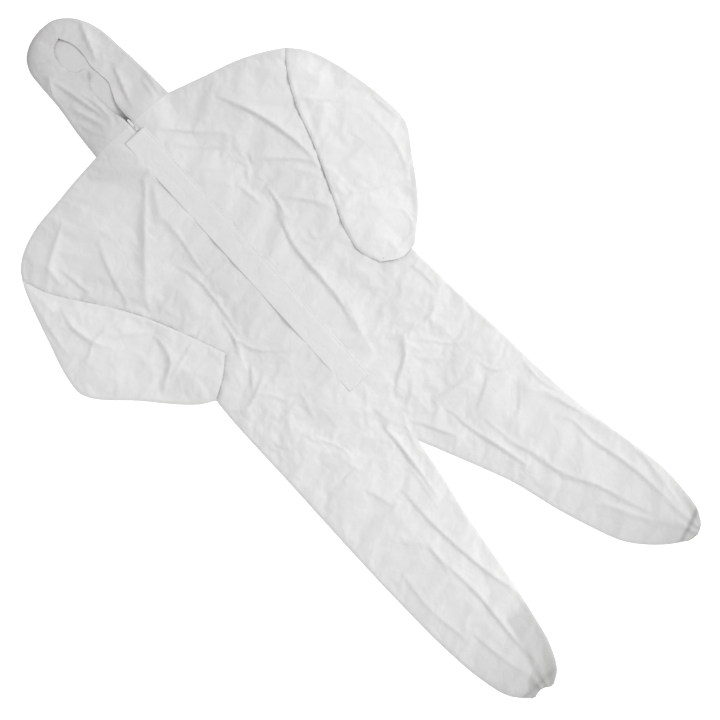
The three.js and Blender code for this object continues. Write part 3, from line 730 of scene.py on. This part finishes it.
def crumple(objects, looseness):
    """The fabric is a little larger than the space it lies in, so it buckles between its held edges."""
    starts = np.cumsum([0] + [len(o.data.vertices) for o in objects])
    vertices, faces = [], []
    for start, obj in zip(starts, objects):
        vertices += [v.co.copy() for v in obj.data.vertices]
        faces += [tuple(start + i for i in p.vertices) for p in obj.data.polygons]
    mesh = bpy.data.meshes.new("loose_cloth")
    mesh.from_pydata(vertices, [], faces)
    cloth = bpy.data.objects.new("loose_cloth", mesh)
    SCENE.collection.objects.link(cloth)
    held, taut = cloth.vertex_groups.new(name="held"), cloth.vertex_groups.new(name="taut")
    loose = np.clip(np.concatenate(looseness), 0, 1)
    for i, value in enumerate(loose):
        held.add([i], 1.0 if value < 0.02 else 0.0, "REPLACE")
        taut.add([i], 1 - float(value), "REPLACE")
    modifier = cloth.modifiers.new("cloth", "CLOTH")
    settings = modifier.settings
    settings.quality = 6
    settings.mass = 0.05
    settings.tension_stiffness = settings.compression_stiffness = 30
    settings.shear_stiffness = 15
    settings.bending_stiffness = 6
    settings.tension_damping = settings.compression_damping = 8
    settings.air_damping = 4
    settings.vertex_group_mass = "held"
    settings.pin_stiffness = 5
    settings.vertex_group_shrink = "taut"
    settings.shrink_min, settings.shrink_max = -FULLNESS, 0
    settings.effector_weights.gravity = 0
    modifier.collision_settings.use_collision = False
    modifier.collision_settings.use_self_collision = False
    modifier.point_cache.frame_start, modifier.point_cache.frame_end = 1, SIM_FRAMES
    for number in range(1, SIM_FRAMES + 1):
        SCENE.frame_set(number)
    settled = cloth.evaluated_get(bpy.context.evaluated_depsgraph_get()).data
    moved = np.array([v.co for v in settled.vertices]) / MM
    before = np.array(vertices) / MM
    step = moved - before
    length = np.linalg.norm(step, axis=1)[:, None]
    step *= np.minimum(1, SIM_CAP / np.maximum(length, 1e-6))
    final = before + step
    for start, stop, obj in zip(starts, starts[1:], objects):
        obj.data.vertices.foreach_set("co", (final[start:stop] * MM).astype(np.float32).ravel())
        obj.data.update()
    SCENE.frame_set(1)
    bpy.data.objects.remove(cloth)
    bpy.data.meshes.remove(mesh)


def plan_of(obj):
    return np.array([v.co[:2] for v in obj.data.vertices]) / MM


def rim_distance(obj, loop):
    return nearest(plan_of(obj), np.vstack([loop, loop[:1]]))[0]


loose_panels, amounts = [], []
for name in SIDES:
    for k in (0, 2):
        loose_panels.append(panels[name][k])
loose_panels += hood[:2]
for obj, loop in loose_panels:
    plan = plan_of(obj)
    free = smoothstep(0.5, 14, rim_distance(obj, loop)) * (1 - 0.9 * under_flap(plan))
    if obj.name.endswith("sheet"):
        free *= SLEEVE_LOOSENESS
    else:
        for covering in sleeve_loops:
            free *= smoothstep(-25, 5, outward(plan, covering))
        share = 0.33 + 0.25 * np.exp(-((plan[:, 1] + 260) / 190) ** 2)
        free *= share + 0.22 * smoothstep(-100, 100, plan[:, 1])
    amounts.append(free)
crumple([obj for obj, _ in loose_panels], amounts)


# ---- Seams, elastics and stitches ----
def sweep(name, centre, width_way, reach, thick, material, closed=False, ripple=(0, 1),
          twist=0.0, sides=8):
    """A band along a centre line. width_way points across it, reach and thick are its half sizes."""
    count = len(centre)
    tangent = np.roll(centre, -1, axis=0) - np.roll(centre, 1, axis=0)
    if not closed:
        tangent[0], tangent[-1] = centre[1] - centre[0], centre[-1] - centre[-2]
    tangent /= np.linalg.norm(tangent, axis=1)[:, None]
    wide = np.broadcast_to(np.asarray(width_way, float), centre.shape)
    wide = wide - (wide * tangent).sum(1)[:, None] * tangent
    wide /= np.linalg.norm(wide, axis=1)[:, None]
    normal = np.cross(tangent, wide)
    along = np.concatenate([[0], np.cumsum(np.linalg.norm(np.diff(centre, axis=0), axis=1))])
    shift = ripple[0] * np.sin(2 * np.pi * along / ripple[1] + 0.9 * np.sin(along / 11))
    vertices = []
    for k in range(sides):
        angle = 2 * np.pi * k / sides
        bulge = 1 + 0.22 * np.cos(2 * angle - twist * along)
        across = (reach * math.cos(angle) * bulge)[:, None] * wide
        vertices.append(centre + across + (thick * math.sin(angle) * bulge + shift)[:, None] * normal)
    vertices = np.stack(vertices, axis=1).reshape(-1, 3)
    faces = []
    for i in range(count if closed else count - 1):
        j = (i + 1) % count
        for k in range(sides):
            m = (k + 1) % sides
            faces.append((i * sides + k, i * sides + m, j * sides + m, j * sides + k))
    if not closed:
        faces += [tuple(range(sides))[::-1], tuple(range((count - 1) * sides, count * sides))]
    return add_object(name, vertices, faces, material)


def with_height(line, height):
    return np.column_stack([line, np.broadcast_to(height, len(line))])


def set_in(line, distance):
    """The line moved to its left."""
    way = np.gradient(line, axis=0)
    way /= np.linalg.norm(way, axis=1)[:, None]
    return line + distance * np.column_stack([-way[:, 1], way[:, 0]])


def seam_thread(name, line, turn):
    """An overlocked seam just inside a sewn edge: turn is which side of the line the fabric is on."""
    line = set_in(line[2:-2], turn * SEAM_INSET)
    return sweep(name, with_height(line, EDGE_HEIGHT), (0, 0, 1), 1.0, SEAM_THICK, SEAM,
                 twist=1.1)


def elastic_band(name, front_edge, back_edge, along, tuck):
    """A gathered elastic round a hem, with its outer edge that tuck inside the hem."""
    ring = np.vstack([front_edge, back_edge[::-1]])
    dense = spline(np.vstack([ring, ring[:1]]), 1.4)[:-1]
    way = np.array([*along, 0.0]) / np.linalg.norm(along)
    dense = dense - way * (ELASTIC_HALF + tuck)
    return sweep(name, dense, way, ELASTIC_HALF, 0.6, ELASTIC, closed=True, ripple=(0.5, 5.2))


def plain_material(name, colour, roughness, grain, depth):
    """A moulded or woven surface: a fine grain in its colour and its relief."""
    material, nodes, links, shader = new_material(name, roughness)
    grains = noise_texture(nodes, links, object_position(nodes), grain, 5).outputs["Fac"]
    ramp = two_tones(nodes, links, grains, colour, 0.93)
    links.new(ramp.outputs["Color"], shader.inputs["Base Color"])
    bump = add_bump(nodes, links, grains, 0.4, depth)
    links.new(bump.outputs["Normal"], shader.inputs["Normal"])
    return material


def woven_material(name, colour, pitch):
    """Threads that cross at right angles, about pitch metres apart."""
    material, nodes, links, shader = new_material(name, 0.75)
    where = object_position(nodes)
    heights = []
    for axis in ("X", "Y"):
        wave = nodes.new("ShaderNodeTexWave")
        wave.bands_direction = axis
        wave.inputs["Scale"].default_value = 0.31 / pitch
        wave.inputs["Distortion"].default_value = 0.6
        links.new(where, wave.inputs["Vector"])
        heights.append(wave.outputs["Fac"])
    cross = nodes.new("ShaderNodeMath")
    cross.operation = "MULTIPLY"
    links.new(heights[0], cross.inputs[0])
    links.new(heights[1], cross.inputs[1])
    ramp = two_tones(nodes, links, cross.outputs["Value"], colour, 0.86)
    links.new(ramp.outputs["Color"], shader.inputs["Base Color"])
    bump = add_bump(nodes, links, cross.outputs["Value"], 0.5, 0.0003)
    links.new(bump.outputs["Normal"], shader.inputs["Normal"])
    return material


SEAM = woven_material("overlock_thread", (0.74, 0.74, 0.73), 0.0008)
ELASTIC = woven_material("elastic_web", (0.66, 0.63, 0.57), 0.0011)
TAPE = woven_material("zip_tape_web", (0.8, 0.8, 0.79), 0.0007)
PLASTIC = plain_material("zip_plastic", (0.83, 0.83, 0.82), 0.38, 900, 0.0001)
GLUE = plain_material("adhesive_film", (0.70, 0.67, 0.57), 0.3, 400, 0.0002)
LINER = plain_material("release_paper", (0.82, 0.8, 0.74), 0.25, 300, 0.0001)


def body_seams(name, side):
    sign = side["sign"]
    line = {k: spline(mirrored(side[k], sign)) for k in ("shoulder", "armhole", "flank", "inseam")}
    turn = -sign
    shoulder = seam_thread(f"{name}_shoulder_overlock", line["shoulder"], turn)
    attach(shoulder, "torso")
    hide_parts(f"{name}_shoulder_seam")
    flank = np.vstack([line["armhole"][:-1], line["flank"]])
    outer = seam_thread(f"{name}_side_overlock", flank, turn)
    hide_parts(f"{name}_side_seam", f"{name}_leg_outseam")
    inner = seam_thread(f"{name}_inseam_overlock", line["inseam"], turn)
    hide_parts(f"{name}_leg_inseam")
    return [outer, inner]


def sleeve_seams(name, side):
    sign = side["sign"]
    made = []
    for part, old in (("outer", "outer_seam"), ("inner", "inner_seam")):
        line = spline(mirrored(side[f"sleeve_{part}"], sign))
        inset = set_in(line[2:-2], -sign * SEAM_INSET)
        height = sleeve_lie(inset, side) + SLEEVE_EDGE
        obj = sweep(f"{name}_sleeve_{part}_overlock", with_height(inset, height), (0, 0, 1), 0.8, 0.9,
                    SEAM, twist=1.1)
        upper = "sleeve_outer_seam" if part == "outer" else "sleeve_under_seam"
        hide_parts(f"{name}_{upper}", f"{name}_forearm_{old}")
        made.append(obj)
    return made


def heights_at(line, objects):
    """The height of the made fabric at each vertex of an edge line."""
    points = np.vstack([np.array([v.co for v in obj.data.vertices]) for obj in objects]) / MM
    gaps = ((points[None, :, :2] - line[:, None, :]) ** 2).sum(2)
    return points[gaps.argmin(1), 2]


def hem_bands(name, side):
    sign = side["sign"]
    made = []
    for kind, key, objects, node in (("ankle", "hem", panels[name][:2], "ankle_elastic"),
                                     ("cuff", "cuff", panels[name][2:], "cuff_elastic")):
        line = spline(mirrored(side[key], sign))[1:-1]
        above, below = heights_at(line, [objects[0][0]]), heights_at(line, [objects[1][0]])
        middle = (above + below) / 2
        room = np.clip((above - below) / 2 - 1.6, 0.4, None)
        front, back = with_height(line, middle + room), with_height(line, middle - 0.6 * room)
        if kind == "ankle":
            along, tuck = -HEMS[name][1], -1.5
        else:
            along = np.array(mirrored(side["cuff"], sign)).mean(0) - joint_at(f"{name}_elbow")
            tuck = 1.0
        band = elastic_band(f"{name}_{kind}_gathered_elastic", front, back, along, tuck)
        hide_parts(f"{name}_{node}")
        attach(band, f"{name}_leg" if kind == "ankle" else f"{name}_forearm")
        made.append(band)
    return made


def stitches(name, line):
    """A row of lockstitches standing a little proud of the fabric."""
    line = spline(line, STITCH_LENGTH + STITCH_GAP)
    way = np.gradient(line, axis=0)
    way /= np.linalg.norm(way, axis=1)[:, None]
    shares, rings = (-0.5, -0.3, 0.3, 0.5), (0.25, 1.0, 1.0, 0.25)
    vertices, faces = [], []
    for middle, ahead in zip(line, way):
        side = np.cross(ahead, (0, 0, 1))
        first = len(vertices)
        for share, ring in zip(shares, rings):
            for k in range(6):
                angle = math.pi * k / 3
                spoke = math.cos(angle) * side + math.sin(angle) * np.array((0, 0, 1))
                vertices.append(middle + share * STITCH_LENGTH * ahead + STITCH_RADIUS * ring * spoke)
        for r in range(3):
            for k in range(6):
                m = (k + 1) % 6
                a, b = first + 6 * r, first + 6 * (r + 1)
                faces.append((a + k, a + m, b + m, b + k))
        faces += [tuple(range(first, first + 6))[::-1], tuple(range(first + 18, first + 24))]
    return add_object(name, vertices, faces, SEAM)


for name, side in SIDES.items():
    side["leg_pieces"] = body_seams(name, side)
    side["arm_pieces"] = sleeve_seams(name, side)
    hem_bands(name, side)


def hood_details():
    made = []
    for name, points in (("left", HOOD_LEFT), ("right", HOOD_RIGHT)):
        seam = seam_thread(f"{name}_hood_overlock", spline(points), -1)
        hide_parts(f"{name}_hood_seam")
        made.append(seam)
    rim = np.vstack([spline(FACE_LEFT)[:-1], spline(FACE_RIGHT)])[3:-3]
    height = heights_at(rim, [hood[0][0], hood[1][0]]) - 0.9
    dense = spline(with_height(rim, height), 1.5)
    band = sweep("face_gathered_elastic", dense, (0, 0, 1), 1.0, 1.1, HOOD, ripple=(0.3, 6))
    # The gathered band is darkened a quarter of the way, partly as gathered fabric and partly as painted
    # shade.
    mark_doubling_and_painted_shade(band, np.full(len(band.data.vertices), 0.25))
    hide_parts("face_elastic")
    made.append(band)
    return made


hood_extras = hood_details()


for name in SIDES:
    (front, front_loop), (back, back_loop), (over, over_loop), (under, under_loop) = panels[name]


# ---- Fabric pieces with their transforms baked into their meshes ----
for name, side in SIDES.items():
    sign = side["sign"]
    for obj in [obj for obj, _ in panels[name][:2]] + side["leg_pieces"]:
        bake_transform(obj)
    for obj in [obj for obj, _ in panels[name][2:]] + side["arm_pieces"]:
        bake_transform(obj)
for obj in [obj for obj, _ in hood] + hood_extras:
    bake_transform(obj)


# ---- Storm flap and zip ----
def storm_flap():
    """A strip of fabric lying double, sewn down past its hinge and folded at its free edge."""
    folded = np.linspace(FLAP_LOW[0], FLAP_LOW[0] + FLAP_FOLD, 4)
    xs = np.concatenate([folded, np.arange(FLAP_LOW[0] + 6, 18, 4.0), [FLAP_SEWN_X]])
    ys = np.arange(FLAP_LOW[1], FLAP_HIGH[1] + 0.1, (FLAP_HIGH[1] - FLAP_LOW[1]) / 150)
    grid = np.array([(x, y) for y in ys for x in xs])
    margin = smoothstep(FLAP_HIGH[0] - 2, FLAP_HIGH[0] + 5, grid[:, 0])
    wave = wrinkles(grid, 60, 8.8) * 0.5 + wrinkles(grid, 22, 3.9) * 0.25
    middle = (FLAP_LOW[2] + FLAP_HIGH[2]) / 2 + wave * 0.8 - margin * 1.2
    edge = np.minimum(grid[:, 0] - FLAP_LOW[0], FLAP_FOLD)
    thick = 0.62 * np.sqrt(np.clip(1 - (1 - edge / FLAP_FOLD) ** 2, 0.05, 1))
    rows, columns = len(ys), len(xs)
    top = np.column_stack([grid, middle + thick])
    bottom = np.column_stack([grid, middle - thick])

    def index(row, column, layer):
        return row * columns + column + layer * rows * columns

    faces = []
    for i in range(rows - 1):
        for j in range(columns - 1):
            faces.append((index(i, j, 0), index(i, j + 1, 0), index(i + 1, j + 1, 0), index(i + 1, j, 0)))
            faces.append((index(i, j, 1), index(i + 1, j, 1), index(i + 1, j + 1, 1), index(i, j + 1, 1)))
    border = [(0, j) for j in range(columns)] + [(i, columns - 1) for i in range(1, rows)]
    border += [(rows - 1, j) for j in range(columns - 2, -1, -1)] + [(i, 0) for i in range(rows - 2, 0, -1)]
    for (a, b), (c, d) in zip(border, border[1:] + border[:1]):
        faces.append((index(a, b, 0), index(a, b, 1), index(c, d, 1), index(c, d, 0)))
    flap = add_object("storm_flap_fabric", np.vstack([top, bottom]), faces, FABRIC)
    # Darker towards the neck end, as the body beside it is.
    heights = np.array([v.co.y for v in flap.data.vertices]) / MM
    mark_doubling_and_painted_shade(flap, BODY_SHADE + 0.18 * smoothstep(-350, 280, heights))
    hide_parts("storm_flap")
    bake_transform(flap)
    x, z = FLAP_HIGH[0] + 4, FLAP_HIGH[2] - 1.0
    row = stitches("storm_flap_stitching", [(x, FLAP_LOW[1] + 3, z), (x, FLAP_HIGH[1] - 3, z)])
    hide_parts("storm_flap_seam")
    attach(row, "torso")


storm_flap()


def zip_coil(name):
    """A run of nylon loops, one half of the zip."""
    low, high = corners(f"{name}_zip_coil")
    turn_points = 10
    turns = int((high[1] - low[1]) / COIL_PITCH)
    share = np.arange(turns * turn_points + 1) / turn_points
    angle = 2 * np.pi * share
    half_x, half_z = (high[0] - low[0]) / 2 - 0.3, (high[2] - low[2]) / 2 - 0.3
    centre = np.column_stack([
        (low[0] + high[0]) / 2 + half_x * np.cos(angle),
        low[1] + 0.6 + COIL_PITCH * share * (high[1] - low[1] - 1.2) / (turns * COIL_PITCH),
        (low[2] + high[2]) / 2 + half_z * np.sin(angle),
    ])
    coil = sweep(f"{name}_zip_coil_loops", centre, (0, 1, 0), 0.32, 0.3, PLASTIC, sides=5)
    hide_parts(f"{name}_zip_coil")
    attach(coil, "torso")


zip_coil("left")
zip_coil("right")


def waist_elastic():
    low, high = corners("waist_elastic")
    middle = (low + high) / 2
    line = np.array([(x, middle[1], low[2] + 1.3) for x in np.arange(low[0], high[0], 1.6)])
    half_width = (high[1] - low[1]) / 2 * 0.8
    band = sweep("waist_gathered_elastic", line, (0, 1, 0), half_width, 0.7, ELASTIC,
                 ripple=(0.5, 6.5))
    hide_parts("waist_elastic")
    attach(band, "torso")


waist_elastic()

# ---- CAD pieces that keep their shape, with their material and bevel width ----
KEPT = {
    "left_zip_tape": (TAPE, 0.15), "right_zip_tape": (TAPE, 0.15),
    "flap_adhesive_strip": (GLUE, 0.1), "flap_release_liner": (LINER, 0.1),
    "zip_slider": (PLASTIC, 0.35), "zip_pull_tab": (PLASTIC, 0.4), "zip_bottom_stop": (PLASTIC, 0.3),
    "left_zip_top_stop": (PLASTIC, 0.3), "right_zip_top_stop": (PLASTIC, 0.3),
}
for node, (material, bevel) in KEPT.items():
    obj = frame["nodes"][node]
    obj.data.materials.clear()
    obj.data.materials.append(material)
    softened = obj.modifiers.new("softened edges", "BEVEL")
    softened.width = bevel * MM
    softened.segments = 3
    softened.limit_method = "ANGLE"

# ---- Stage ----
def add_stage():
    bpy.ops.mesh.primitive_plane_add(size=14, location=(0, 0, -0.0006))
    floor = bpy.context.object
    floor.name = "floor"
    material, nodes, links, shader = new_material("paper_floor", 0.9)
    shader.inputs["Base Color"].default_value = (0.95, 0.95, 0.95, 1)
    shader.inputs["Emission Color"].default_value = (1, 1, 1, 1)
    shader.inputs["Emission Strength"].default_value = 0.6
    floor.data.materials.append(material)
    world = bpy.data.worlds.new("studio")
    world.use_nodes = True
    world.node_tree.nodes["Background"].inputs["Color"].default_value = (1, 1, 1, 1)
    world.node_tree.nodes["Background"].inputs["Strength"].default_value = 0.655
    SCENE.world = world
    key = bpy.data.lights.new("key", "SUN")
    key.energy = 1.25
    key.angle = math.radians(24)
    lamp = bpy.data.objects.new("key", key)
    lamp.rotation_euler = Vector((-1.9, 0.75, -1.5)).to_track_quat("-Z", "Y").to_euler()
    SCENE.collection.objects.link(lamp)
    camera = bpy.data.cameras.new("camera")
    camera.lens = 120
    camera.clip_end = 100
    shot = bpy.data.objects.new("camera", camera)
    shot.location = (0.025, -0.196, 5.64)
    shot.rotation_euler = (0, 0, math.radians(-42.2))
    SCENE.collection.objects.link(shot)
    SCENE.camera = shot
    SCENE.view_settings.view_transform = "Standard"


add_stage()
